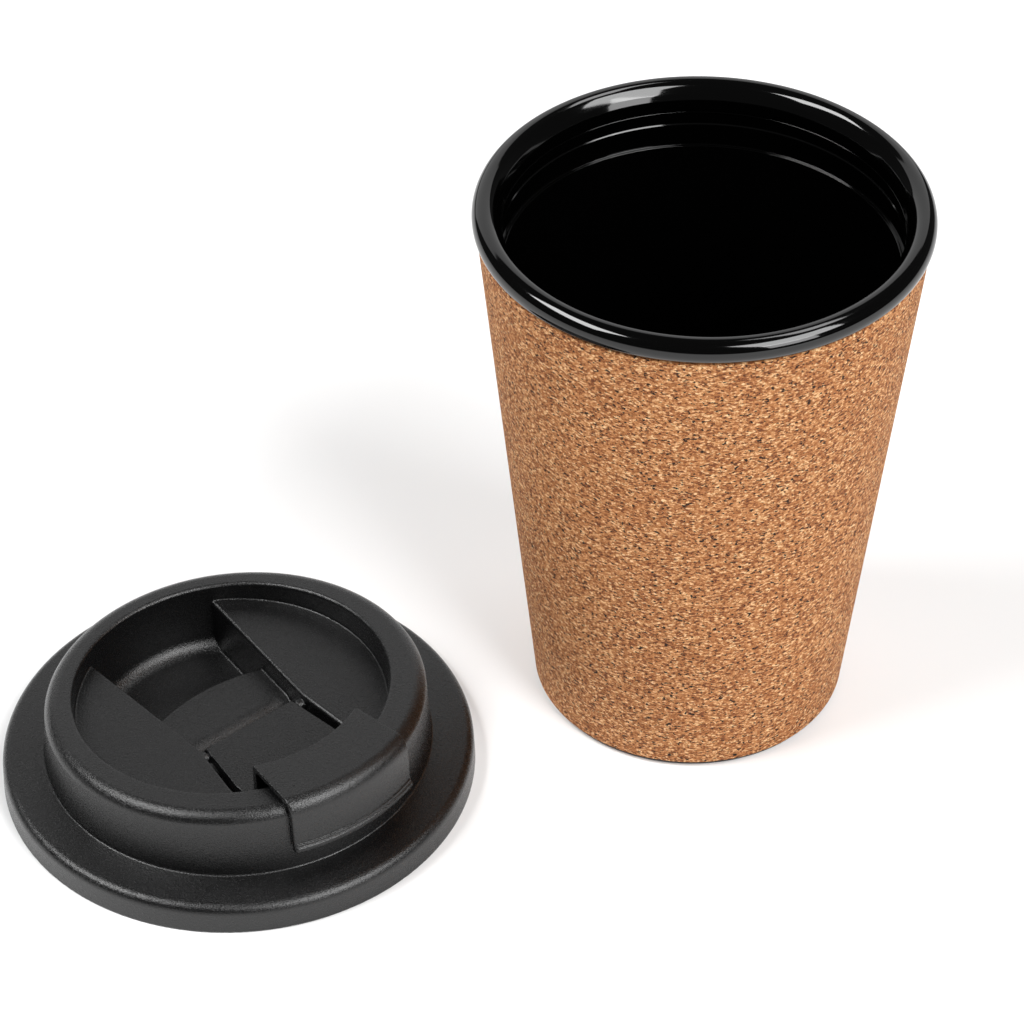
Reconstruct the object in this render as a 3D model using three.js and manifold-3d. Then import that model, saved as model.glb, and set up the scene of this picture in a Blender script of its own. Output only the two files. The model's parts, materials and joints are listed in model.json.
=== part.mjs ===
// Travel cup with a cork sleeve and a flip-top lid, in millimetres, +Z up.
// The origin is the centre of the cup's underside, on the surface that the cup and its lid stand on.
// The lid is off the cup and lies beside it with its top up and its drinking flap closed.

import * as THREE from 'three';
import { mergeVertices } from 'three/addons/utils/BufferGeometryUtils.js';
import Module from 'manifold-3d';

const wasm = await Module();
wasm.setup();

// ---------------------------------------------------------------- driving dimensions

const SEGMENTS = 48;              // facets round every large turned shape
const GAP = 0.3;                  // clearance between neighbouring pieces
const DEGREE = Math.PI / 180;

// cup
const cupHeight = 122;
const rimRadius = 45.5;           // outside of the rolled bead
const corkTop = 117;
const corkBottom = 1.1;
const corkTopRadius = 44.6;
const corkBottomRadius = 32.9;
const corkWall = 2.4;
const linerWall = 1.7;
const linerFloor = 6.3;           // height of the drink's floor
const seamHeight = 115.8;         // weld between the rim ring and the liner
const seamRadius = 39.7;
const mouthRadius = 41.2;         // inner edge of the bead
const ledgeHeight = 106.6;        // step below the lid's seat
const ledgeRadius = 39.9;

// lid, in its own frame: +X towards the drinking hole, +Z up, origin on its axis at the skirt
const lidPlace = new THREE.Vector3(-95.2, -29.9, 0);
const lidTurn = -50 * DEGREE;
const flangeRadius = 49.3;
const flangeTop = 6.5;
const flangeEdge = 1.3;
const skirtInner = 46.5;
const grooveTop = 5;              // underside of the flange, which sits on the cup's rim
const ringFoot = [40.4, 7.2];     // radius and height where the drinking ring meets the flange
const ringRadius = 39.6;
const ringTop = 20.9;             // on the axis
const ringEdge = 2.8;
const ringLean = 0.063;           // rise of the ring and the clip per millimetre towards the drinking side
const recessRadius = 32.8;
const recessShift = -1.5;         // the recess is off centre, away from the drinking side
const platformTop = 15;
const wellFloor = 2.8;            // pocket that the opened flap's clip drops into
const trayFloor = 9.6;            // floor under the flap's strip
const plateTop = 10.5;            // raised plate between the pocket and the hinge
const shellWall = 1.8;
const collarOuter = 38.4;
const collarInner = 35.4;

// flap, hinge and stopper, in the lid's frame
const hingeX = 5.6;
const hingeZ = 12.4;
const barrelRadius = 1.6;
const pinRadius = 0.75;
const pinHalfLength = 16;
const stripTop = 14;
const stripBottom = 11.6;
const stripHalfWidth = 11.6;
const channelHalfWidth = 13.3;    // at the hinge
const clipTop = 23;               // on the axis, before it leans with the ring
const clipWall = 1.2;
const clipInnerRadius = 28.9;     // inner edge of the clip, about the recess's centre
const clipHalfWidth = 13.25;      // at the inner edge
const lipBottom = 12.8;
const holeX = 34.2;
const holeSize = [3.8, 9];
const seatDepth = 1.5;            // hollow in the ring's top round the drinking hole, for the stopper
const padSize = [6.4, 13];
const seatClearance = 0.5;        // lets the pad turn out of its seat

// ---------------------------------------------------------------- shape helpers

// Points of an arc in a radius-and-height profile; angles are in degrees from the outward direction.
function arc(centreR, centreZ, radius, from, to, steps = 4) {
  const points = [];
  for (let i = 0; i <= steps; i += 1) {
    const angle = (from + (to - from) * i / steps) * DEGREE;
    points.push([centreR + radius * Math.cos(angle), centreZ + radius * Math.sin(angle)]);
  }
  return points;
}

// Turns a profile of [radius, height] about +Z. The outer side of the profile runs upwards.
function turned(profile) {
  const points = profile.map(([radius, height]) => new THREE.Vector2(radius, height));
  return new THREE.LatheGeometry(points, SEGMENTS).rotateX(Math.PI / 2);
}

// A turned ring: the profile closes on its own first point.
function turnedRing(profile) {
  return turned([...profile, profile[0]]);
}

function prism(outline, bottom, top) {
  const shape = new THREE.Shape(outline.map(([x, y]) => new THREE.Vector2(x, y)));
  const geometry = new THREE.ExtrudeGeometry(shape, { depth: top - bottom, bevelEnabled: false });
  return geometry.translate(0, 0, bottom);
}

// Adds the mirror image of one side's points, so that an outline is symmetric about the X axis.
function mirrored(side) {
  const other = side.map(([x, y]) => [x, -y]).reverse();
  return [...side, ...other];
}

// An upright cone or cylinder about (x, 0).
function upright(x, bottomRadius, topRadius, bottom, top, sides = SEGMENTS) {
  const geometry = new THREE.CylinderGeometry(topRadius, bottomRadius, top - bottom, sides);
  return geometry.rotateX(Math.PI / 2).translate(x, 0, (top + bottom) / 2);
}

// A rod along Y, centred on the hinge axis.
function hingeRod(radius, halfLength, sides = 16) {
  return new THREE.CylinderGeometry(radius, radius, 2 * halfLength, sides).translate(hingeX, 0, hingeZ);
}

// A slot with half-round ends, long in Y.
function slotOutline(x, width, length, steps = 6) {
  const radius = width / 2;
  const reach = length / 2 - radius;
  const outline = [];
  for (let i = 0; i <= steps; i += 1) {
    const angle = Math.PI * i / steps;
    outline.push([x + radius * Math.cos(angle), reach + radius * Math.sin(angle)]);
  }
  for (let i = 0; i <= steps; i += 1) {
    const angle = Math.PI * (1 + i / steps);
    outline.push([x + radius * Math.cos(angle), -reach + radius * Math.sin(angle)]);
  }
  return outline;
}

function solid(geometry) {
  const bare = geometry.clone();
  bare.deleteAttribute('normal');
  bare.deleteAttribute('uv');
  const merged = mergeVertices(bare, 1e-4);
  const index = merged.index.array;
  const triangles = [];
  for (let i = 0; i < index.length; i += 3) {
    const [a, b, c] = [index[i], index[i + 1], index[i + 2]];
    if (a !== b && b !== c && c !== a) triangles.push(a, b, c);
  }
  const mesh = new wasm.Mesh({
    numProp: 3,
    vertProperties: new Float32Array(merged.attributes.position.array),
    triVerts: new Uint32Array(triangles),
  });
  return new wasm.Manifold(mesh);
}

// Leans a body: above the height full it rises towards +X, and below the height foot it stays as it is.
function leaned(body, foot, full) {
  return body.warp((point) => {
    const share = Math.min(Math.max((point[2] - foot) / (full - foot), 0), 1);
    point[2] += ringLean * point[0] * share;
  });
}

const ringLeaned = (body) => leaned(body, 9, 17);
const flapLeaned = (body) => leaned(body, platformTop, 17);

function geometryOf(body) {
  const mesh = body.getMesh();
  const geometry = new THREE.BufferGeometry();
  geometry.setAttribute('position', new THREE.BufferAttribute(new Float32Array(mesh.vertProperties), 3));
  geometry.setIndex(new THREE.BufferAttribute(new Uint32Array(mesh.triVerts), 1));
  geometry.computeVertexNormals();
  return geometry;
}

function part(name, geometry, colour, roughness, metalness = 0) {
  const material = new THREE.MeshStandardMaterial({ color: colour, roughness, metalness });
  const mesh = new THREE.Mesh(geometry, material);
  mesh.name = name;
  return mesh;
}

// ---------------------------------------------------------------- cup

// Outer radius of the tapered cork at a height.
function corkRadius(height) {
  const share = (height - corkBottom) / (corkTop - corkBottom);
  return corkBottomRadius + (corkTopRadius - corkBottomRadius) * share;
}

const linerSkin = corkWall + GAP;   // from the cork's outside in to the liner's outside

function corkSleeve() {
  return turnedRing([
    [corkBottomRadius - corkWall, corkBottom],
    [corkBottomRadius, corkBottom],
    [corkTopRadius, corkTop],
    [corkTopRadius - corkWall, corkTop],
  ]);
}

// The black cup inside the cork: a tapered wall, a ledge below the lid's seat and a flat floor.
function linerCup() {
  const underside = linerFloor - linerWall;
  const innerAt = (height) => corkRadius(height) - linerSkin - linerWall;
  const fillet = 3;
  return turned([
    [0, underside],
    [corkRadius(underside) - linerSkin, underside],
    [corkRadius(seamHeight) - linerSkin, seamHeight],
    [seamRadius, seamHeight],
    [ledgeRadius + 0.2, seamHeight - 0.8],
    [ledgeRadius, ledgeHeight + 0.5],
    [innerAt(ledgeHeight), ledgeHeight],
    [innerAt(linerFloor + fillet), linerFloor + fillet],
    [innerAt(linerFloor) - fillet, linerFloor],
    [0, linerFloor],
  ]);
}

// The rolled bead on top, welded to the liner by a tongue inside the cork's upper edge.
function rimRing() {
  const bead = 2.7;
  const beadCentre = [rimRadius - bead, cupHeight - bead];
  const foot = seamHeight + GAP;
  const tongueOuter = corkTopRadius - linerSkin - 0.2;
  return turnedRing([
    [seamRadius, foot],
    [tongueOuter, foot],
    [tongueOuter, corkTop + GAP],
    ...arc(...beadCentre, bead, -48, 115, 8),
    [mouthRadius - 0.2, cupHeight - 1.6],
  ]);
}

function baseCap() {
  const lip = corkBottom - GAP;
  const plug = corkBottomRadius - corkWall - GAP;
  return turned([
    [0, 0],
    [corkBottomRadius - 1.2, 0],
    [corkBottomRadius - 0.9, lip],
    [plug, lip],
    [plug, linerFloor - linerWall - GAP],
    [0, linerFloor - linerWall - GAP],
  ]);
}

// ---------------------------------------------------------------- lid

// The channel that runs from the far wall of the recess to the drinking side, widened by a margin.
function channelOutline(margin = 0) {
  return mirrored([
    [-40, channelHalfWidth + 2.8 + margin],
    [hingeX, channelHalfWidth + margin],
    [18, channelHalfWidth + 1.9 + margin],
    [31 + margin, channelHalfWidth + 1.9 + margin],
  ].reverse());
}

function recessCone(margin, bottom, top) {
  const draft = 0.04;
  const radiusAt = (height) => recessRadius + margin - draft * (ringTop - height);
  return upright(recessShift, radiusAt(bottom), radiusAt(top), bottom, top);
}

// The raised plate between the pocket and the hinge; its far edge bows towards the pocket.
function plateOutline() {
  const halfWidth = 12.6;
  const bow = 2;
  const far = -13.4;
  const side = [];
  for (let i = 0; i <= 4; i += 1) {
    const y = halfWidth * i / 4;
    side.push([far + bow * (y / halfWidth) ** 2, y]);
  }
  side.push([0, halfWidth]);
  return [...side.slice(1).reverse(), side[0], ...side.slice(1).map(([x, y]) => [x, -y])];
}

// What is cut from the top: the round recess, and below it the channel with its stepped floor.
function topCut() {
  const above = ringTop + 5;
  const trayStart = -10.8;
  const tray = mirrored([[40, 20], [trayStart, 20]]);
  const channel = solid(prism(channelOutline(), wellFloor, above))
    .intersect(solid(recessCone(0, wellFloor, above)))
    .subtract(solid(prism(tray, 0, trayFloor)))
    .subtract(solid(prism(plateOutline(), 0, plateTop)));
  return solid(recessCone(0, platformTop, above)).add(channel);
}

// What is cut from below: the hollow under the platforms, leaving the walls and floors of the channel.
function undersideCut() {
  const below = -1;
  const wellOutline = mirrored([[-10.8 + shellWall, 22], [-40, 22]]);
  const channelWalls = solid(prism(channelOutline(shellWall), trayFloor - shellWall, ringTop));
  const well = solid(prism(wellOutline, wellFloor - shellWall + 0.3, ringTop))
    .intersect(solid(prism(channelOutline(shellWall), below, ringTop)));
  return solid(upright(0, collarInner, collarInner, below, platformTop - shellWall))
    .subtract(channelWalls)
    .subtract(well);
}

// The chamber under the wide side of the ring, which feeds the drinking hole.
function spoutChamber() {
  const outer = ringRadius - shellWall;
  const bottom = grooveTop + 0.5;
  const roof = ringTop - seatDepth - 1.5;
  const drinkingSide = mirrored([[45, 45], [4, 45]]);
  return ringLeaned(solid(upright(0, outer + 0.4, outer, bottom, roof)))
    .subtract(solid(recessCone(shellWall, 0, ringTop)))
    .intersect(solid(prism(drinkingSide, 0, ringTop)));
}

function lidShell() {
  const outside = ringLeaned(solid(turned([
    [0, 0],
    [flangeRadius + 0.2, 0],
    ...arc(flangeRadius - flangeEdge, flangeTop - flangeEdge, flangeEdge, 0, 90, 3),
    ringFoot,
    ...arc(ringRadius - ringEdge, ringTop - ringEdge, ringEdge, 0, 90, 5),
    [0, ringTop],
  ])));
  const rimGroove = solid(turnedRing([
    [collarOuter, -1],
    [skirtInner, -1],
    [skirtInner, grooveTop],
    [collarOuter, grooveTop],
  ]));
  const sealGroove = solid(turnedRing([
    [collarOuter - 1, 1],
    [collarOuter + 1, 1],
    [collarOuter + 1, 3.8],
    [collarOuter - 1, 3.8],
  ]));
  const pinBosses = solid(hingeRod(barrelRadius + 0.8, pinHalfLength + 1.2));
  const pinSockets = solid(hingeRod(pinRadius + GAP, pinHalfLength + GAP));
  const seatSize = padSize.map((size) => size + 2 * seatClearance);
  const seat = solid(prism(slotOutline(holeX, ...seatSize), ringTop - seatDepth, ringTop + 1));
  const drinkingHole = solid(prism(slotOutline(holeX, ...holeSize), ringTop - 3.8, ringTop));
  const ventHole = solid(upright(16, 0.9, 0.9, 0, platformTop, 12));
  return geometryOf(outside
    .subtract(undersideCut())
    .subtract(spoutChamber())
    .add(pinBosses)
    .subtract(rimGroove)
    .subtract(sealGroove)
    .subtract(topCut())
    .subtract(pinSockets)
    .subtract(ringLeaned(seat.add(drinkingHole)))
    .subtract(ventHole));
}

function sealRing() {
  const inner = collarOuter - 1 + GAP;
  const reach = 40.6;
  return turnedRing([
    [inner, 1.3],
    [reach - 1, 1.3],
    [reach, 2.4],
    [reach - 1, 3.5],
    [inner, 3.5],
  ]);
}

// ---------------------------------------------------------------- flap

// The clip over the drinking ring, seen from above; its ends splay outwards.
function clipOutline() {
  const innerX = recessShift + Math.sqrt(clipInnerRadius ** 2 - clipHalfWidth ** 2);
  return mirrored([[44, clipHalfWidth + 2.2], [innerX, clipHalfWidth], [0, clipHalfWidth]]);
}

// The clip's top plate, rounded front edge, front face and thumb lip, as a turned section.
function clipSection() {
  const face = ringRadius + 2.2;
  const inner = face - 0.9;
  const edge = 3;
  const edgeR = face - 0.4 - edge;
  const edgeZ = clipTop - edge;
  const inside = clipTop - clipWall;
  return turnedRing([
    [20, inside],
    ...arc(edgeR, edgeZ, edge - clipWall, 90, 0, 3),
    [inner, platformTop],
    [inner, lipBottom],
    [face + 0.2, lipBottom],
    [face + 0.6, lipBottom + 0.9],
    [face, lipBottom + 1.8],
    ...arc(edgeR, edgeZ, edge, 0, 90, 5),
    [20, clipTop],
  ]);
}

function flipTab() {
  const stripOutline = mirrored([
    [29, clipHalfWidth],
    [17.5, clipHalfWidth],
    [hingeX, stripHalfWidth],
  ]);
  const innerWall = solid(upright(recessShift, clipInnerRadius, clipInnerRadius, 0, clipTop + 1));
  const riserOutside = upright(recessShift, clipInnerRadius + clipWall, clipInnerRadius + clipWall, stripBottom, clipTop);
  const plan = solid(prism(clipOutline(), 0, clipTop + 1));
  const riser = solid(riserOutside).subtract(innerWall).intersect(plan);
  const top = solid(clipSection()).subtract(innerWall).intersect(plan);
  const strip = solid(prism(stripOutline, stripBottom, stripTop))
    .intersect(solid(upright(recessShift, clipInnerRadius + 1, clipInnerRadius + 1, 0, clipTop)));
  const post = solid(upright(holeX, 1, 1, ringTop - 0.4, clipTop - clipWall / 2, 12));
  const body = strip
    .add(solid(hingeRod(barrelRadius, stripHalfWidth, 20)))
    .add(riser)
    .add(top)
    .add(post)
    .subtract(solid(hingeRod(pinRadius + GAP, stripHalfWidth + 2)));
  return geometryOf(flapLeaned(body));
}

// Soft plug under the clip: a pad in its seat on the ring, with a tongue in the drinking hole.
function spoutStopper() {
  const padBottom = ringTop - seatDepth + GAP;
  const padTop = clipTop - clipWall - GAP;
  const clearance = 0.45;
  const tongue = holeSize.map((size) => size - 2 * clearance);
  const socket = upright(holeX, 1.3, 1.3, padBottom + 0.5, padTop + 1, 12);
  const body = solid(prism(slotOutline(holeX, ...padSize), padBottom, padTop))
    .add(solid(prism(slotOutline(holeX, ...tongue), padBottom - 2, padBottom + 0.2)))
    .subtract(solid(socket));
  return geometryOf(flapLeaned(body));
}

// ---------------------------------------------------------------- assembly

const black = 0x141414;
const cup = new THREE.Group();
cup.add(part('base_cap', baseCap(), black, 0.4));
cup.add(part('liner_cup', linerCup(), 0x050505, 0.12));
cup.add(part('rim_ring', rimRing(), 0x080808, 0.15));
cup.add(part('cork_sleeve', corkSleeve(), 0xc49468, 0.9));

const flap = new THREE.Group();
flap.add(part('flip_tab', flipTab(), 0x1c1c1c, 0.55));
flap.add(part('spout_stopper', spoutStopper(), 0x101010, 0.7));

const lid = new THREE.Group();
lid.position.copy(lidPlace);
lid.rotation.z = lidTurn;
lid.add(part('lid_shell', lidShell(), 0x1a1a1a, 0.55));
lid.add(part('seal_ring', sealRing(), 0x202020, 0.7));
lid.add(part('hinge_pin', hingeRod(pinRadius, pinHalfLength), 0xb8b8b8, 0.3, 1));
lid.add(flap);

const group = new THREE.Group();
group.add(cup, lid);

export default group;
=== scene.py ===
"""Travel cup with a cork sleeve and a flip-top lid: the looks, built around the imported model.

Lengths in this script are millimetres until a mesh is made. The lid's own frame has its origin on the
lid's axis at the skirt, +X towards the drinking hole and +Z up.
"""

import json
import math

import bmesh
import bpy
import numpy as np
from mathutils import Matrix, Vector


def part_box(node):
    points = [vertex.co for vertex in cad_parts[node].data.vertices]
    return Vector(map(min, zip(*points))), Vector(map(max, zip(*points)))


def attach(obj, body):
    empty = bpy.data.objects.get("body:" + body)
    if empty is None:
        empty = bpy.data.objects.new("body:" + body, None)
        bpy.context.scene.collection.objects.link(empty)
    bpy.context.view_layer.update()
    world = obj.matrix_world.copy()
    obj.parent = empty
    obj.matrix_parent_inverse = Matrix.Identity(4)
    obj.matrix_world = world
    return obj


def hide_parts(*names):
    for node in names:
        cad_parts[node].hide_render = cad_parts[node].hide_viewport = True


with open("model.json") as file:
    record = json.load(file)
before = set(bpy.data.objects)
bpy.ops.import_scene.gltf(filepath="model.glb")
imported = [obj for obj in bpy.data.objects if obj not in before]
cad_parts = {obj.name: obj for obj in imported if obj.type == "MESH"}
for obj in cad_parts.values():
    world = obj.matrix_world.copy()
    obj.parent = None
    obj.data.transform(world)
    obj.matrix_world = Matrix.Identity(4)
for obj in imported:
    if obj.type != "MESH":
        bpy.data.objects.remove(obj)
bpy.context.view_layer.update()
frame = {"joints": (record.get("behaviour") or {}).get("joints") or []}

MM = 0.001


# ---------------------------------------------------------------- sizes from the frame


def box_mm(node):
    """Lowest and highest corners of a CAD node."""
    low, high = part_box(node)
    return low / MM, high / MM


def radius_mm(node):
    low, high = box_mm(node)
    return (high.x - low.x) / 2


rim_low, rim_high = box_mm("rim_ring")
cork_low, cork_high = box_mm("cork_sleeve")
lid_low, lid_high = box_mm("lid_shell")
flap_low, flap_high = box_mm("flip_tab")

GAP = 0.3  # between pieces that touch on the real object

# The cup.
CUP_HEIGHT = rim_high.z
RIM_RADIUS = radius_mm("rim_ring")
BASE_INSET = 0.9
CORK_TOP = cork_high.z
CORK_BOTTOM = cork_low.z
CORK_TOP_RADIUS = radius_mm("cork_sleeve")
CORK_BOTTOM_RADIUS = radius_mm("base_cap") + BASE_INSET
CORK_WALL = 2.4
LINER_SKIN = CORK_WALL + GAP  # from the cork's outer side to the liner's
LINER_WALL = 1.7
LINER_FLOOR = 6.3
BEAD = 2.7  # the rim's radius outside
BEAD_START = -48  # degrees above level where the bead starts
CREST = 2.4  # the rim's radius over its top
CREST_START = 45  # degrees above level where the crest takes over
RIM_SLOPE = 57  # degrees below level of the rim's inner side
SEAM_HEIGHT = rim_low.z - GAP
SEAM_RADIUS = 39.7
MOUTH_RADIUS = 39.9  # the wall that the lid's seal grips
STEP_HEIGHT = 112.9
LEDGE_HEIGHT = 107.7
LEDGE_WIDTH = 0.6

hinge = next(joint for joint in frame["joints"] if joint["name"] == "tab_flip")
LID_X = (lid_low.x + lid_high.x) / 2
LID_Y = (lid_low.y + lid_high.y) / 2
LID_TURN = math.atan2(-hinge["axis"][0], hinge["axis"][1]) + math.pi
HINGE_X = math.hypot(hinge["pos_m"][0] / MM - LID_X, hinge["pos_m"][1] / MM - LID_Y)
HINGE_Z = hinge["pos_m"][2] / MM
LID_MATRIX = Matrix.Translation(Vector((LID_X, LID_Y, 0)) * MM) @ Matrix.Rotation(LID_TURN, 4, "Z")

# The lid and the flap. In a pair of sizes, the first is for the left side, -Y, and the second for the right.
LEAN = 0.063  # rise of the drinking ring and the clip per millimetre of x
LEAN_START = 9.0  # the ring starts to lean at this height and leans fully above LEAN_FULL
LEAN_FULL = 17.0
SKIRT_RADIUS = radius_mm("lid_shell")
FLANGE_TOP = 6.5
FLANGE_EDGE = 1.7
SKIRT_INNER = 46.5
GROOVE_TOP = 5.0
RING_RADIUS = 39.6
RING_EDGE = 2.8
RING_TOP = lid_high.z - LEAN * (RING_RADIUS - RING_EDGE)
RECESS_RADIUS = 32.8
RECESS_X = -1.5
PLATFORM_TOP = 15.0
PLATFORM_EDGE = 0.35, 0.85
CHANNEL_HALF = 13.3, 12.7  # at the hinge
CHANNEL_FAR = -40.0
FAR_FLARE = 2.8, 3.8  # widening from the hinge to CHANNEL_FAR
CHANNEL_NEAR = 18.0
NEAR_FLARE = 1.9, 0.9  # widening from the hinge to CHANNEL_NEAR
POCKET_FLOOR = 2.8
TRAY_FLOOR = 9.6
TRAY_START = -10.8
PLATE_TOP = 10.5
PLATE_START = -13.4
PLATE_END = 2.2
SHELL_WALL = 1.8
COLLAR_OUTER = 38.4
COLLAR_INNER = 35.4
HOLE_X = 34.2
HOLE_WIDTH = 3.8
HOLE_LENGTH = 9.0
SEAT_DEPTH = 1.5
PAD_WIDTH = 6.4
PAD_LENGTH = 13.0

PIN = 0.75
PIN_HALF = 16.0
BARREL = 1.6
STRIP_START = 4.8
STRIP_TOP = 14.0
STRIP_BOTTOM = 11.6
STRIP_HALF = 11.6, 10.8  # at the hinge
STRIP_NEAR = 17.5
STRIP_FLARE = 1.65  # widening from the hinge to STRIP_NEAR
CLIP_FACE = RING_RADIUS + 2.2
CLIP_DRAFT = 0.4
CLIP_EDGE = 3.0
CLIP_TOP = flap_high.z - LEAN * (CLIP_FACE - CLIP_DRAFT - CLIP_EDGE)
CLIP_WALL = 1.2
CLIP_INNER = 28.3
CLIP_START = 24.2
CLIP_HALF = 13.25  # at CLIP_START
CLIP_FLARE = 0.111  # widening of each side per millimetre of x
CLIP_CORNER = 0.3, 1.0
LIP_BOTTOM = 12.8


# ---------------------------------------------------------------- solids as distance fields
# A field is negative inside a solid. The last argument of joined, common and cut is the radius of the
# rounded corner or edge that it makes, and without it the edge is sharp.


def joined(a, b, radius=0.0):
    """Union, with a fillet of that radius in the corner between the two."""
    if np.ndim(radius) == 0 and radius == 0:
        return np.minimum(a, b)
    gap = np.hypot(np.maximum(radius - a, 0), np.maximum(radius - b, 0))
    return np.maximum(radius, np.minimum(a, b)) - gap


def common(a, b, radius=0.0):
    """Intersection, with its edge rounded to that radius."""
    if np.ndim(radius) == 0 and radius == 0:
        return np.maximum(a, b)
    gap = np.hypot(np.maximum(radius + a, 0), np.maximum(radius + b, 0))
    return np.minimum(-radius, np.maximum(a, b)) + gap


def cut(a, b, radius=0.0):
    """a without b, with the new edge rounded."""
    return common(a, -b, radius)


def slab(value, low, high):
    return np.maximum(low - value, value - high)


def rounded_slot(x, y, centre, width, length):
    """Plan distance to a slot with half-round ends, long in y."""
    reach = length / 2 - width / 2
    return np.hypot(x - centre, np.maximum(np.abs(y) - reach, 0)) - width / 2


def by_side(y, pair):
    """The left or the right size of a pair."""
    return np.where(y > 0, pair[1], pair[0])


def unleaned(x, z, start):
    """Height before the lean: the same below start, and shifted by the whole rise above LEAN_FULL."""
    rise = LEAN * x
    share = np.clip((z - start) / (LEAN_FULL - start + rise), 0, 1)
    return z - rise * share


def recess_wall(x, y, z, margin=0.0):
    draft = 0.04
    return np.hypot(x - RECESS_X, y) - (RECESS_RADIUS + margin - draft * (RING_TOP - z))


def channel_side(x, y, margin=0.0):
    """Distance past the channel's side walls, which are closest together at the hinge."""
    far = by_side(y, FAR_FLARE) * np.maximum(HINGE_X - x, 0) / (HINGE_X - CHANNEL_FAR)
    near = by_side(y, NEAR_FLARE) * np.clip((x - HINGE_X) / (CHANNEL_NEAR - HINGE_X), 0, 1)
    return np.abs(y) - (by_side(y, CHANNEL_HALF) + far + near + margin)


def channel_floor(x, y, z):
    """What stands in the channel: the tray, and the plate between the pocket and the hinge. The plate's
    edge over the pocket is bowed, and its other end rolls off under the strip."""
    bow = 2.0
    bow_half = 12.6
    roll_off_start = -1.5
    roll_off = 0.12
    edge = PLATE_START + bow * (y / bow_half) ** 2
    top = z - PLATE_TOP + roll_off * np.maximum(x - roll_off_start, 0) ** 2
    plate = common(common(edge - x, top, 1.4), x - PLATE_END)
    tray = common(TRAY_START - x, z - TRAY_FLOOR, 0.3)
    return joined(plate, tray, 0.3)


def top_cut(x, y, z):
    """The round recess, and below it the channel with its pocket."""
    wall = recess_wall(x, y, z)
    channel = common(channel_side(x, y), POCKET_FLOOR - z, 0.6)
    channel = cut(channel, channel_floor(x, y, z), 0.5)
    floors = joined(PLATFORM_TOP - z, channel, by_side(y, PLATFORM_EDGE))
    hollow = common(wall, floors, 0.3)
    pocket_foot = common(wall, POCKET_FLOOR - z, 3.4)
    return np.maximum(hollow, pocket_foot)


def under_cut(x, y, z):
    """The hollow under the platforms, round the walls and floors of the channel."""
    pocket_wall = 1.5
    hollow = common(np.hypot(x, y) - COLLAR_INNER, z - (PLATFORM_TOP - SHELL_WALL), 1.0)
    past_walls = channel_side(x, y, SHELL_WALL)
    tray = common(past_walls, TRAY_FLOOR - SHELL_WALL - z, 0.6)
    pocket = common(past_walls, x - (TRAY_START + SHELL_WALL))
    pocket = common(pocket, POCKET_FLOOR - pocket_wall - z, 0.6)
    return cut(cut(hollow, tray, 0.6), pocket, 0.6)


def spout_chamber(x, y, z, up):
    """The hollow under the wide side of the ring, which feeds the drinking hole."""
    draft = 0.03
    roof = 1.5
    start = 4.0
    outer = np.hypot(x, y) - (RING_RADIUS - SHELL_WALL + draft * (RING_TOP - z))
    chamber = common(outer, -recess_wall(x, y, z, SHELL_WALL), 0.4)
    chamber = common(chamber, slab(up, GROOVE_TOP + 0.5, RING_TOP - SEAT_DEPTH - roof), 0.6)
    return common(chamber, start - x, 0.8)


def lid_outside(x, y, z, up):
    """The skirt and flange, with the leaning drinking ring on them. A fine crease runs where the ring's
    side turns into its rounded edge."""
    skirt_draft = 0.05
    flange_slope = 0.09
    ring_draft = 0.073
    crease = 0.06
    radius = np.hypot(x, y)
    skirt = radius - (SKIRT_RADIUS - skirt_draft * z)
    flange_top = FLANGE_TOP + flange_slope * (SKIRT_RADIUS - FLANGE_EDGE - radius)
    flange = common(common(skirt, z - flange_top, FLANGE_EDGE), -z, 0.4)
    ring_side = radius - (RING_RADIUS + ring_draft * (RING_TOP - RING_EDGE - up))
    ring = common(ring_side - crease, up - RING_TOP, RING_EDGE)
    ring = common(np.maximum(ring, ring_side), -z, 0.4)
    return joined(flange, ring, 0.3)


def collar_grooves(radius, z):
    """The groove under the skirt that takes the cup's rim, and the seal's own groove in the collar."""
    rim_groove = common(slab(radius, COLLAR_OUTER, SKIRT_INNER), z - GROOVE_TOP, 0.8)
    seal_groove = common(slab(radius, COLLAR_OUTER - 1, COLLAR_OUTER + 2), slab(z, 1, 3.8))
    return joined(rim_groove, seal_groove)


def cut_holes(body, x, y, z, up):
    """The drinking hole with the stopper's seat round it, and the vent in the tray's floor."""
    vent_x = 16.0
    vent_radius = 0.9
    seat = rounded_slot(x, y, HOLE_X, PAD_WIDTH + 1, PAD_LENGTH + 1)
    seat = common(seat, RING_TOP - SEAT_DEPTH - up, 0.3)
    hole = common(rounded_slot(x, y, HOLE_X, HOLE_WIDTH, HOLE_LENGTH), RING_TOP - 4 - up)
    vent = common(np.hypot(x - vent_x, y) - vent_radius, slab(z, 6, 13))
    return cut(cut(cut(body, seat, 0.3), hole, 0.3), vent, 0.2)


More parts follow.
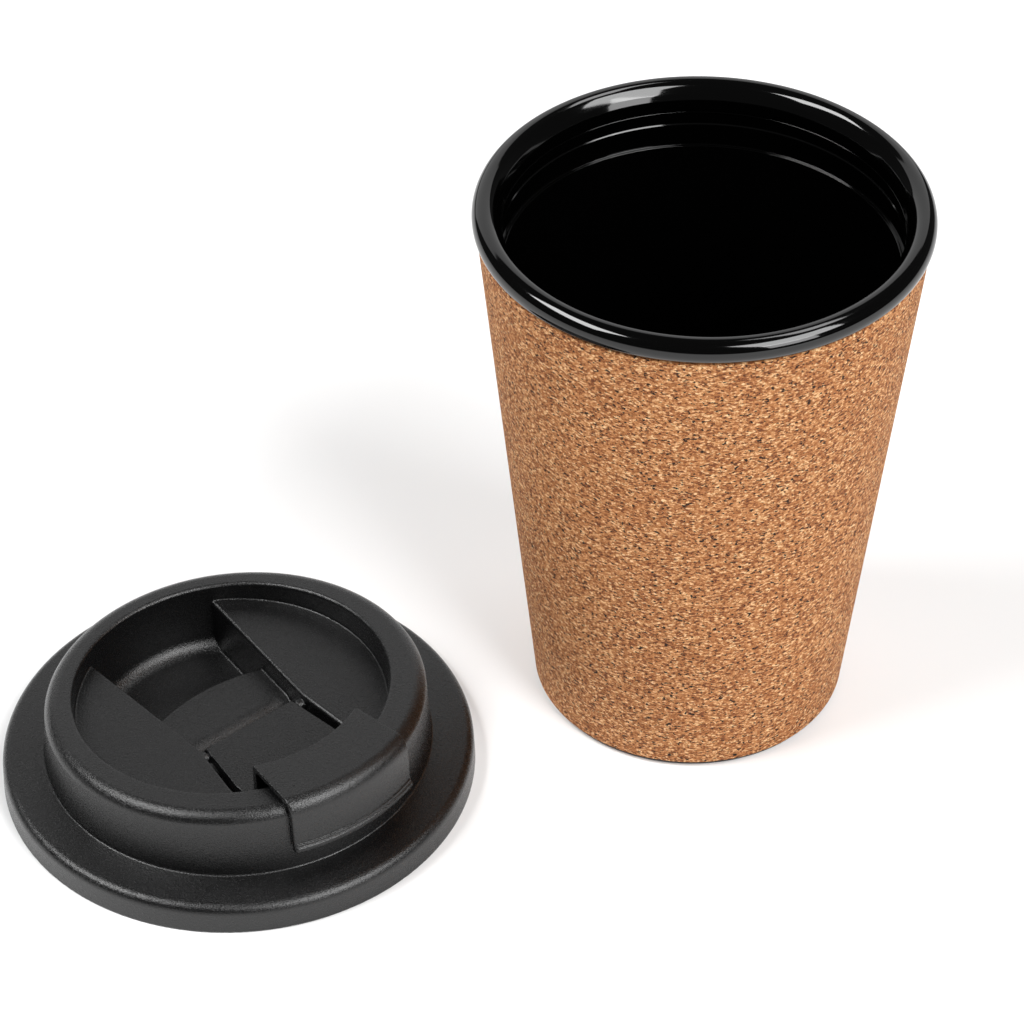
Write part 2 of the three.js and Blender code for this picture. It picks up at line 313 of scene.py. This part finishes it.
def lid_field(x, y, z):
    """The whole lid shell. Bosses outside the channel and knuckles inside it hold the hinge's pin."""
    up = unleaned(x, z, LEAN_START)
    body = lid_outside(x, y, z, up)
    body = cut(body, under_cut(x, y, z), 0.3)
    body = cut(body, spout_chamber(x, y, z, up), 0.3)
    rod = np.hypot(x - HINGE_X, z - HINGE_Z)
    boss = common(rod - (BARREL + 0.8), np.abs(y) - (PIN_HALF + 1.2), 0.4)
    body = joined(body, boss, 0.4)
    body = cut(body, collar_grooves(np.hypot(x, y), z), 0.3)
    body = cut(body, top_cut(x, y, z), 0.8)
    between = slab(np.abs(y), by_side(y, STRIP_HALF) + GAP, CHANNEL_HALF[0] + 1)
    knuckle = common(rod - (PIN + 0.6), between, 0.3)
    body = joined(body, knuckle, 0.2)
    socket = common(rod - (PIN + 0.15), np.abs(y) - (PIN_HALF + GAP))
    return cut_holes(cut(body, socket, 0.1), x, y, z, up)


def thumb_lip(radius, up):
    """The lip along the foot of the clip's front: a low step with a rounded bead on it."""
    root = CLIP_FACE - 0.6
    step_reach = CLIP_FACE + 0.32
    bead_reach = CLIP_FACE + 0.74
    step = common(slab(radius, root, step_reach), slab(up, LIP_BOTTOM, LIP_BOTTOM + 2.0), 0.14)
    bead = common(radius - bead_reach, slab(up, LIP_BOTTOM, LIP_BOTTOM + 1.4), 0.45)
    return joined(step, np.maximum(bead, root - radius), 0.1)


def clip_field(x, y, up):
    """The clip over the ring: riser, top plate, rounded front edge, front face and thumb lip."""
    front_slope = 0.074
    back_slope = 0.14
    back_reach = 5.0
    front_start = 38.0
    radius = np.hypot(x, y)
    from_recess = np.hypot(x - RECESS_X, y)
    below_edge = CLIP_TOP - CLIP_EDGE - up
    end = np.abs(y) - (CLIP_HALF + CLIP_FLARE * np.maximum(x - CLIP_START, 0))
    end = end / math.hypot(1, CLIP_FLARE)
    plan = common(CLIP_INNER - from_recess, end, by_side(y, CLIP_CORNER))
    front = radius - (CLIP_FACE - CLIP_DRAFT + front_slope * below_edge)
    block = common(common(front, up - CLIP_TOP, CLIP_EDGE), plan, 0.35)
    back = radius - (CLIP_FACE - CLIP_DRAFT - CLIP_WALL + back_slope * np.minimum(below_edge, back_reach))
    inside = common(back, up - (CLIP_TOP - CLIP_WALL), CLIP_EDGE - CLIP_WALL)
    inside = common(inside, CLIP_INNER + CLIP_WALL - from_recess, 0.5)
    bottom = np.where(radius > front_start, LIP_BOTTOM, STRIP_BOTTOM) - up
    clip = common(cut(block, inside, 0.15), bottom, 0.15)
    lip = common(thumb_lip(radius, up), end, 0.5)
    return joined(clip, lip, 0.1)


def strip_field(x, y, z):
    """The flat strip in the channel, with the hinge's barrel under its far end."""
    flare = STRIP_FLARE * np.clip((x - HINGE_X) / (STRIP_NEAR - HINGE_X), 0, 1)
    side = np.abs(y) - (by_side(y, STRIP_HALF) + flare)
    inside_riser = np.hypot(x - RECESS_X, y) - (CLIP_INNER + 0.8)
    plan = common(common(STRIP_START - x, side, 1.0), inside_riser)
    strip = common(plan, slab(z, STRIP_BOTTOM, STRIP_TOP), 0.22)
    barrel = common(np.hypot(x - HINGE_X, z - HINGE_Z) - BARREL, side, 0.25)
    return joined(strip, barrel)


def flap_field(x, y, z):
    """Strip and clip in one, with a post under the clip that holds the stopper."""
    up = unleaned(x, z, PLATFORM_TOP)
    post = common(np.hypot(x - HOLE_X, y) - 1, slab(up, RING_TOP - 0.4, CLIP_TOP - CLIP_WALL / 2))
    flap = joined(joined(strip_field(x, y, z), clip_field(x, y, up), 0.3), post, 0.2)
    return cut(flap, np.hypot(x - HINGE_X, z - HINGE_Z) - (PIN + 0.1), 0.1)


def stopper_field(x, y, z):
    """The pad in the seat, with a tongue in the drinking hole and a socket for the flap's post."""
    up = unleaned(x, z, PLATFORM_TOP)
    foot = RING_TOP - SEAT_DEPTH + GAP
    play = 0.9
    pad = rounded_slot(x, y, HOLE_X, PAD_WIDTH, PAD_LENGTH)
    pad = common(pad, slab(up, foot, CLIP_TOP - CLIP_WALL - GAP), 0.5)
    tongue = rounded_slot(x, y, HOLE_X, HOLE_WIDTH - play, HOLE_LENGTH - play)
    tongue = common(tongue, slab(up, foot - 2, foot + 1), 0.5)
    socket = common(np.hypot(x - HOLE_X, y) - 1.2, foot + 0.4 - up)
    return cut(joined(pad, tongue, 0.3), socket, 0.2)


# ---------------------------------------------------------------- meshes


def gradient(field, points, reach):
    """Slope of a field at each point, from differences over that reach."""
    columns = []
    for axis in range(3):
        offset = np.zeros(3)
        offset[axis] = reach
        ahead = field(*(points + offset).T)
        behind = field(*(points - offset).T)
        columns.append((ahead - behind) / (2 * reach))
    return np.stack(columns, 1)


def unit(vectors):
    return vectors / np.maximum(np.linalg.norm(vectors, axis=1, keepdims=True), 1e-9)


def crossings(field, low, high, step):
    """Where the grid's lines cross the zero surface, and the four cells round each crossing in order."""
    axes = [np.arange(a, b + step, step) for a, b in zip(low, high)]
    shape = tuple(len(axis) for axis in axes)
    grid = (axes[0][:, None, None], axes[1][None, :, None], axes[2][None, None, :])
    value = np.broadcast_to(field(*(part.astype(np.float32) for part in grid)), shape)
    inside = value < 0
    all_points = []
    all_cells = []
    for axis in range(3):
        first = [slice(None)] * 3
        second = [slice(None)] * 3
        first[axis] = slice(None, -1)
        second[axis] = slice(1, None)
        start_at = np.argwhere(inside[tuple(first)] != inside[tuple(second)])
        end_at = start_at.copy()
        end_at[:, axis] += 1
        start = value[tuple(start_at.T)]
        points = start_at.astype(float)
        points[:, axis] += start / (start - value[tuple(end_at.T)])
        across = [k for k in range(3) if k != axis]
        cells = []
        for back in ((0, 0), (1, 0), (1, 1), (0, 1)):
            cell = start_at.copy()
            cell[:, across[0]] -= back[0]
            cell[:, across[1]] -= back[1]
            cells.append(np.ravel_multi_index(tuple(cell.T), shape))
        cells = np.stack(cells, 1)
        turned_over = (start > 0) != (axis == 1)
        cells[turned_over] = cells[turned_over][:, ::-1]
        all_points.append(points * step + np.array(low, float))
        all_cells.append(cells)
    return np.concatenate(all_points), np.concatenate(all_cells)


def surface_net(field, low, high, step):
    """Closed quad mesh of the zero surface. Each cell that it crosses gets one vertex, placed where the
    surface's tangent planes in that cell meet, so that edges stay sharp and straight."""
    points, cells = crossings(field, low, high, step)
    normals = unit(gradient(field, points, 0.02))
    used, corner = np.unique(cells, return_inverse=True)
    corner = corner.reshape(cells.shape)

    def total(weights):
        return sum(np.bincount(corner[:, k], weights=weights, minlength=len(used)) for k in range(4))

    count = total(None)
    middle = np.stack([total(points[:, k]) for k in range(3)], 1) / count[:, None]
    offset = (normals * points).sum(1)
    matrix = np.empty((len(used), 3, 3))
    for i in range(3):
        for j in range(3):
            matrix[:, i, j] = total(normals[:, i] * normals[:, j])
    target = np.stack([total(normals[:, k] * offset) for k in range(3)], 1)
    target -= np.einsum("nij,nj->ni", matrix, middle)
    matrix += 0.05 * count[:, None, None] * np.eye(3)
    move = np.linalg.solve(matrix, target[:, :, None])[:, :, 0]
    length = np.linalg.norm(move, axis=1, keepdims=True)
    move *= np.minimum(1, 0.9 * step / np.maximum(length, 1e-9))
    return middle + move, corner


def new_object(name, vertices, faces, placement=None):
    """A smooth object with its vertices given in millimetres."""
    mesh = bpy.data.meshes.new(name)
    mesh.from_pydata((np.asarray(vertices) * MM).tolist(), [], np.asarray(faces).tolist())
    if placement is not None:
        mesh.transform(placement)
    mesh.shade_smooth()
    piece = bpy.data.objects.new(name, mesh)
    bpy.context.scene.collection.objects.link(piece)
    return piece


def thinned(piece, ratio):
    """Collapses flat areas to fewer triangles."""
    modifier = piece.modifiers.new("thin", "DECIMATE")
    modifier.ratio = ratio
    modifier.use_collapse_triangulate = True
    depsgraph = bpy.context.evaluated_depsgraph_get()
    mesh = bpy.data.meshes.new_from_object(piece.evaluated_get(depsgraph))
    piece.modifiers.clear()
    old = piece.data
    piece.data = mesh
    bpy.data.meshes.remove(old)


def corner_normals(mesh, field):
    """A normal from the field for each corner. On a long triangle it is taken a little inside the
    triangle, so that a small rounded edge beside it doesn't shade the flat."""
    count = len(mesh.vertices)
    points = np.empty(count * 3)
    mesh.vertices.foreach_get("co", points)
    points = points.reshape(-1, 3) / MM
    corners = np.empty(len(mesh.loops), int)
    mesh.loops.foreach_get("vertex_index", corners)
    corner_points = points[corners].reshape(-1, 3, 3)
    inwards = corner_points.mean(1, keepdims=True) - corner_points
    length = np.linalg.norm(inwards, axis=2, keepdims=True)
    shift = np.clip(length - 0.35, 0, 0.3) / np.maximum(length, 1e-9)
    samples = (corner_points + inwards * shift).reshape(-1, 3)
    return unit(gradient(field, samples, 0.06))


def field_object(name, field, low, high, step, ratio):
    """The field's surface between two corners, from a grid of that step, thinned to that ratio."""
    vertices, faces = surface_net(field, low, high, step)
    piece = new_object(name, vertices, faces)
    thinned(piece, ratio)
    mesh = piece.data
    mesh.name = name
    normals = corner_normals(mesh, field) @ np.array(LID_MATRIX.to_3x3()).T
    mesh.transform(LID_MATRIX)
    mesh.shade_smooth()
    mesh.normals_split_custom_set(normals.tolist())
    return piece


def fillet(points, radii, steps=6):
    """Rounds each corner of a closed profile of [radius, height] points to its own radius."""
    result = []
    for i, corner in enumerate(points):
        corner = np.array(corner, float)
        before = np.array(points[i - 1], float) - corner
        after = np.array(points[(i + 1) % len(points)], float) - corner
        radius = radii[i]
        if radius == 0:
            result.append(corner)
            continue
        before_way = before / np.linalg.norm(before)
        after_way = after / np.linalg.norm(after)
        half = math.acos(np.clip(before_way @ after_way, -1, 1)) / 2
        room = 0.49 * min(np.linalg.norm(before), np.linalg.norm(after))  # the next corner has the other half
        reach = min(radius / math.tan(half), room)
        radius = reach * math.tan(half)
        middle_way = (before_way + after_way) / np.linalg.norm(before_way + after_way)
        centre = corner + middle_way * radius / math.sin(half)
        start = corner + before_way * reach - centre
        end = corner + after_way * reach - centre
        turn = math.atan2(start[0] * end[1] - start[1] * end[0], start @ end)
        for k in range(steps + 1):
            angle = turn * k / steps
            across = math.cos(angle) * start[0] - math.sin(angle) * start[1]
            height = math.sin(angle) * start[0] + math.cos(angle) * start[1]
            result.append(centre + np.array([across, height]))
    return np.array(result)


def turned(name, profile, segments=256, placement=None, on_axis=False):
    """Turns a closed profile of [radius, height] points, outer side upwards, about +Z."""
    profile = np.asarray(profile, float)
    count = len(profile)
    angles = np.arange(segments) * 2 * math.pi / segments
    ring = np.stack([np.cos(angles), np.sin(angles)], 1)
    vertices = np.empty((segments, count, 3))
    vertices[:, :, 0] = ring[:, None, 0] * profile[None, :, 0]
    vertices[:, :, 1] = ring[:, None, 1] * profile[None, :, 0]
    vertices[:, :, 2] = profile[None, :, 1]
    faces = []
    for i in range(segments):
        for j in range(count):
            if on_axis and j == count - 1:
                continue
            a = i * count + j
            b = (i + 1) % segments * count + j
            c = (i + 1) % segments * count + (j + 1) % count
            d = i * count + (j + 1) % count
            faces.append((a, b, c, d))
    piece = new_object(name, vertices.reshape(-1, 3), faces, placement)
    if on_axis:
        close_poles(piece)
    return piece


def close_poles(piece):
    """Merges the profile's two ends, which lie on the axis, into single points."""
    bm = bmesh.new()
    bm.from_mesh(piece.data)
    bmesh.ops.remove_doubles(bm, verts=bm.verts, dist=1e-6)
    bm.to_mesh(piece.data)
    bm.free()
    piece.data.shade_smooth()


def cork_radius(height):
    """Outer radius of the cork's straight side."""
    share = (height - CORK_BOTTOM) / (CORK_TOP - CORK_BOTTOM)
    return CORK_BOTTOM_RADIUS + (CORK_TOP_RADIUS - CORK_BOTTOM_RADIUS) * share


def make_cork():
    """A tapered tube with worn edges."""
    inner_bottom = (CORK_BOTTOM_RADIUS - CORK_WALL, CORK_BOTTOM)
    inner_top = (CORK_TOP_RADIUS - CORK_WALL, CORK_TOP)
    corners = [inner_bottom, (CORK_BOTTOM_RADIUS, CORK_BOTTOM), (CORK_TOP_RADIUS, CORK_TOP), inner_top]
    return turned("cork_wrap", fillet(corners, [0.2, 0.7, 0.5, 0.2]))


def make_liner():
    """The inner cup. Below the seam with the rim its wall has a small step and then a ledge."""
    step = 0.1
    underside = LINER_FLOOR - LINER_WALL
    top_outer = cork_radius(SEAM_HEIGHT) - LINER_SKIN

    def inner(height):
        return cork_radius(height) - LINER_SKIN - LINER_WALL

    corners = [
        (0, underside),
        (cork_radius(underside) - LINER_SKIN, underside),
        (top_outer, SEAM_HEIGHT),
        (SEAM_RADIUS, SEAM_HEIGHT),
        (MOUTH_RADIUS + step, SEAM_HEIGHT - 0.5),
        (MOUTH_RADIUS + step, STEP_HEIGHT),
        (MOUTH_RADIUS - step, STEP_HEIGHT - 2.5 * step),
        (inner(LEDGE_HEIGHT) + LEDGE_WIDTH, LEDGE_HEIGHT),
        (inner(LEDGE_HEIGHT), LEDGE_HEIGHT),
        (inner(LINER_FLOOR), LINER_FLOOR),
        (0, LINER_FLOOR),
    ]
    radii = [0, 1, 0, 0.1, 0.15, 0.1, 0.1, 0.1, 0.1, 4, 0]
    return turned("liner", fillet(corners, radii), on_axis=True)


def arc(centre, radius, first, last, steps=10):
    """Points on an arc of a [radius, height] profile, between two angles in degrees above level."""
    angles = np.radians(np.linspace(first, last, steps + 1))
    return np.array(centre) + radius * np.stack([np.cos(angles), np.sin(angles)], 1)


def make_rim():
    """The bead: an arc outside, a tighter one over the crest, and a steep slope down to the inner wall,
    which is slightly hollow."""
    foot = SEAM_HEIGHT + GAP
    tongue = CORK_TOP_RADIUS - LINER_SKIN - 0.2
    centre = np.array([RIM_RADIUS - BEAD, CUP_HEIGHT - BEAD])
    outside = arc(centre, BEAD, BEAD_START, CREST_START)
    crest_centre = arc(centre, BEAD - CREST, CREST_START, CREST_START, 0)[0]
    crest = arc(crest_centre, CREST, CREST_START, 90 + RIM_SLOPE)
    bead = [*outside, *crest[1:]]
    slope_start, slope_top = bead[-1]
    width = slope_start - SEAM_RADIUS
    drop = width * math.tan(math.radians(RIM_SLOPE))
    middle = (SEAM_RADIUS + 0.45 * width, slope_top - 0.5 * drop)
    end = (SEAM_RADIUS, slope_top - drop - 0.15)
    profile = [(SEAM_RADIUS, foot), (tongue, foot), (tongue, CORK_TOP + GAP), *bead, middle, end]
    radii = [0.1, 0, 0, *[0] * len(bead), 3.0, 1.0]
    return turned("rim", fillet(profile, radii))


def make_base():
    """A disc under the cork, with a plug inside it that reaches up to the liner."""
    lip = CORK_BOTTOM - GAP
    plug = CORK_BOTTOM_RADIUS - CORK_WALL - GAP
    outer = CORK_BOTTOM_RADIUS - BASE_INSET
    top = LINER_FLOOR - LINER_WALL - GAP
    corners = [(0, 0.0), (outer, 0), (outer, lip), (plug, lip), (plug, top), (0, top)]
    return turned("base", fillet(corners, [0, 0.3, 0.2, 0.1, 0.3, 0]), 192, on_axis=True)


def make_seal():
    """A ring in the collar's groove, with a pointed outer side."""
    inner = COLLAR_OUTER - 0.7
    reach = 40.6
    low, middle, high = 1.3, 2.4, 3.5
    corners = [(inner, low), (reach - 1, low), (reach, middle), (reach - 1, high), (inner, high)]
    return turned("seal", fillet(corners, [0.2, 0.4, 0.3, 0.4, 0.2]), 192, LID_MATRIX)


def make_pin():
    """A rod along the lid's Y axis at the hinge."""
    corners = [(0, -PIN_HALF), (PIN, -PIN_HALF), (PIN, PIN_HALF), (0, PIN_HALF)]
    lying = Matrix.Translation(Vector((HINGE_X, 0, HINGE_Z)) * MM) @ Matrix.Rotation(math.pi / 2, 4, "X")
    return turned("pin", fillet(corners, [0, 0.2, 0.2, 0]), 32, LID_MATRIX @ lying, on_axis=True)


# ---------------------------------------------------------------- materials


class Nodes:
    """Short calls for building a material's node tree."""

    def __init__(self, name):
        self.material = bpy.data.materials.new(name)
        self.material.use_nodes = True
        self.tree = self.material.node_tree
        self.shader = self.tree.nodes["Principled BSDF"]

    def add(self, kind, settings=None, inputs=None):
        node = self.tree.nodes.new(kind)
        for key, value in (settings or {}).items():
            setattr(node, key, value)
        for key, value in (inputs or {}).items():
            self.put(node.inputs[key], value)
        return node

    def put(self, socket, value):
        if isinstance(value, bpy.types.NodeSocket):
            self.tree.links.new(value, socket)
        else:
            socket.default_value = value

    def set(self, **values):
        for key, value in values.items():
            self.put(self.shader.inputs[key.replace("_", " ")], value)

    def position(self, scale=(1, 1, 1)):
        """Object position, in millimetres, stretched by scale."""
        metres = self.add("ShaderNodeTexCoord").outputs["Object"]
        inputs = {0: metres, 1: tuple(k / MM for k in scale)}
        return self.add("ShaderNodeVectorMath", {"operation": "MULTIPLY"}, inputs).outputs[0]

    def noise(self, position, scale, detail=2.0, roughness=0.5):
        inputs = {"Vector": position, "Scale": scale, "Detail": detail, "Roughness": roughness}
        return self.add("ShaderNodeTexNoise", None, inputs)

    def cells(self, position, scale):
        return self.add("ShaderNodeTexVoronoi", None, {"Vector": position, "Scale": scale})

    def math(self, operation, a, b=0.0):
        return self.add("ShaderNodeMath", {"operation": operation}, {0: a, 1: b}).outputs[0]

    def ramp(self, value, stops):
        node = self.add("ShaderNodeValToRGB", None, {"Fac": value})
        while len(node.color_ramp.elements) < len(stops):
            node.color_ramp.elements.new(0.5)
        for element, (at, colour) in zip(node.color_ramp.elements, stops):
            element.position = at
            element.color = (*colour, 1)
        return node.outputs["Color"]

    def mix(self, share, a, b):
        node = self.add("ShaderNodeMix", {"data_type": "RGBA"}, {"Factor": share})
        first, second = [socket for socket in node.inputs if socket.type == "RGBA"][:2]
        self.put(first, a)
        self.put(second, b)
        return next(socket for socket in node.outputs if socket.type == "RGBA")

    def bump(self, height, distance_mm, strength=1.0):
        inputs = {"Height": height, "Distance": distance_mm * MM, "Strength": strength}
        return self.add("ShaderNodeBump", None, inputs).outputs[0]


CORK_TANS = [
    (0.22, (0.12, 0.03, 0.008)),
    (0.36, (0.34, 0.11, 0.03)),
    (0.5, (0.5, 0.197, 0.064)),
    (0.64, (0.66, 0.31, 0.12)),
    (0.8, (0.95, 0.66, 0.36)),
]
CORK_BARK = (0.015, 0.005, 0.002, 1)


def cork_material():
    """Pressed cork: flat granules of many tans, with dark specks of bark and open pits."""
    flatness = 1.7
    warp_reach = 0.5  # millimetres by which the granules' edges wander
    granule_share = 0.42
    grain_share = 1.25
    grain_low = 0.27
    pit_depth = 0.6
    n = Nodes("cork")
    flat = n.position((1, 1, flatness))
    warp = n.noise(flat, 1.8, 2).outputs["Color"]
    inputs = {0: warp, 1: (warp_reach,) * 3, 2: flat}
    warped = n.add("ShaderNodeVectorMath", {"operation": "MULTIPLY_ADD"}, inputs).outputs[0]
    granules = n.cells(warped, 1.5).outputs["Color"]
    tone = n.add("ShaderNodeSeparateColor", None, {"Color": granules}).outputs[0]
    grain = n.math("SUBTRACT", n.noise(warped, 1.6, 3, 0.7).outputs["Fac"], grain_low)
    light = n.math("ADD", n.math("MULTIPLY", tone, granule_share), n.math("MULTIPLY", grain, grain_share))
    specks = n.noise(warped, 1.15, 1, 0.5).outputs["Fac"]
    speck = n.ramp(specks, [(0.34, (1, 1, 1)), (0.365, (0, 0, 0))])
    colour = n.mix(speck, n.ramp(light, CORK_TANS), CORK_BARK)
    height = n.math("SUBTRACT", light, n.math("MULTIPLY", speck, pit_depth))
    n.set(Base_Color=colour, Roughness=0.8, Specular_IOR_Level=0.3, Normal=n.bump(height, 0.6))
    return n.material


def gloss_material(name, colour, roughness):
    """Polished moulded plastic with a very faint waviness."""
    n = Nodes(name)
    wave = n.noise(n.position(), 0.08, 2).outputs["Fac"]
    n.set(Base_Color=(*colour, 1), Roughness=roughness, Specular_IOR_Level=0.5)
    n.set(Normal=n.bump(wave, 0.15, strength=0.35))
    return n.material


def textured_material(name, colour, roughness, grain=2.8, depth=0.1):
    """Spark-eroded moulded plastic: a fine random grain that breaks up highlights."""
    spread = 0.16  # of the roughness, about its mean
    n = Nodes(name)
    position = n.position()
    fine = n.noise(position, grain, 3, 0.65).outputs["Fac"]
    broad = n.noise(position, 0.12, 2).outputs["Fac"]
    darker = tuple(0.9 * c for c in colour)
    lighter = tuple(1.1 * c for c in colour)
    tint = n.ramp(broad, [(0.3, darker), (0.7, lighter)])
    rough = n.math("ADD", n.math("MULTIPLY", fine, spread), roughness - spread / 2)
    n.set(Base_Color=tint, Roughness=rough, Specular_IOR_Level=0.5, Normal=n.bump(fine, depth))
    return n.material


def steel_material():
    """Drawn steel, darkened, with fine lines along the rod."""
    n = Nodes("steel")
    lines = n.noise(n.position((6, 0.2, 6)), 1.0, 2).outputs["Fac"]
    n.set(Base_Color=(0.2, 0.2, 0.21, 1), Metallic=1.0)
    n.set(Roughness=n.math("ADD", n.math("MULTIPLY", lines, 0.15), 0.3))
    return n.material


# ---------------------------------------------------------------- pieces


def place(piece, material, body, node):
    """Gives a piece its material, and puts it on its body in the CAD node's stead."""
    piece.data.materials.clear()
    piece.data.materials.append(material)
    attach(piece, body)
    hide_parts(node)


def build_cup():
    gloss = gloss_material("gloss_black", (0.0004, 0.0004, 0.0004), 0.07)
    base = textured_material("base_black", (0.012, 0.012, 0.012), 0.5)
    place(make_cork(), cork_material(), "cup", "cork_sleeve")
    place(make_liner(), gloss, "cup", "liner_cup")
    place(make_rim(), gloss, "cup", "rim_ring")
    place(make_base(), base, "cup", "base_cap")


def build_lid():
    matte = textured_material("matte_black", (0.003, 0.003, 0.0031), 0.26)
    soft = textured_material("silicone", (0.02, 0.02, 0.02), 0.6, 6.0, 0.01)
    coarse = 1.0
    reach = SKIRT_RADIUS + 1
    top = flap_high.z + 1
    space = ((-reach, -reach, -0.8), (reach, reach, lid_high.z + 1))
    shell = field_object("lid", lid_field, *space, 0.3 * coarse, 0.24)
    space = ((3.2, -17, 10.2), (CLIP_FACE + 1.5, 17, top))
    flap = field_object("flap", flap_field, *space, 0.2 * coarse, 0.45)
    space = ((HOLE_X - 4.2, -7.5, 16.5), (HOLE_X + 4.4, 7.5, top))
    stopper = field_object("stopper", stopper_field, *space, 0.25 * coarse, 0.5)
    place(shell, matte, "lid", "lid_shell")
    place(make_seal(), soft, "lid", "seal_ring")
    place(make_pin(), steel_material(), "lid", "hinge_pin")
    place(flap, matte, "flap", "flip_tab")
    place(stopper, soft, "flap", "spout_stopper")


# ---------------------------------------------------------------- stage


def build_floor():
    """White paper, lit so strongly that only the shadows on it are below white."""
    n = Nodes("floor_white")
    n.set(Base_Color=(0.8, 0.8, 0.8, 1), Roughness=0.9, Specular_IOR_Level=0.1)
    bpy.ops.mesh.primitive_plane_add(size=8, location=(0, 0, 0))
    floor = bpy.context.object
    floor.name = "floor"
    floor.data.materials.append(n.material)


def softbox(name, azimuth, elevation, width, height, radiance):
    """A lit rectangle that faces the object, placed by its direction and apparent size in degrees."""
    distance = 2.0
    target = Vector((-0.04, 0, 0.06))
    around = math.radians(azimuth)
    up = math.radians(elevation)
    away = Vector((math.cos(up) * math.cos(around), math.cos(up) * math.sin(around), math.sin(up)))
    data = bpy.data.lights.new(name, "AREA")
    data.shape = "RECTANGLE"
    data.size = 2 * distance * math.tan(math.radians(width) / 2)
    data.size_y = 2 * distance * math.tan(math.radians(height) / 2)
    data.energy = 4 * radiance * data.size * data.size_y
    light = bpy.data.objects.new(name, data)
    light.location = target + away * distance
    light.rotation_euler = away.to_track_quat("Z", "Y").to_euler()
    bpy.context.scene.collection.objects.link(light)


def build_lights():
    world = bpy.data.worlds.new("studio")
    world.use_nodes = True
    world.node_tree.nodes["Background"].inputs["Color"].default_value = (1, 1, 1, 1)
    world.node_tree.nodes["Background"].inputs["Strength"].default_value = 0.06
    bpy.context.scene.world = world
    softbox("right", -42, 47, 36, 30, 7.6)
    softbox("right_low", -50, 24, 22, 22, 5.0)
    softbox("left", 190, 53, 34, 20, 11.5)
    softbox("top", 42, 65, 20, 12, 4.5)
    softbox("back_wall", 97, 25, 70, 40, 0.72)


def build_camera():
    """A long lens above and in front of the cup, looking down by about 41 degrees."""
    data = bpy.data.cameras.new("camera")
    data.sensor_width = 36
    data.lens = 129.8
    data.clip_start = 0.01
    camera = bpy.data.objects.new("camera", data)
    camera.location = (-0.0378, -0.5834, 0.5467)
    pitch = 0.7127
    roll = -0.005
    turn = Matrix.Rotation(math.pi / 2 - pitch, 4, "X") @ Matrix.Rotation(roll, 4, "Z")
    camera.rotation_euler = turn.to_euler()
    bpy.context.scene.collection.objects.link(camera)
    bpy.context.scene.camera = camera


build_cup()
build_lid()
build_floor()
build_lights()
build_camera()
bpy.context.scene.view_settings.view_transform = "Standard"
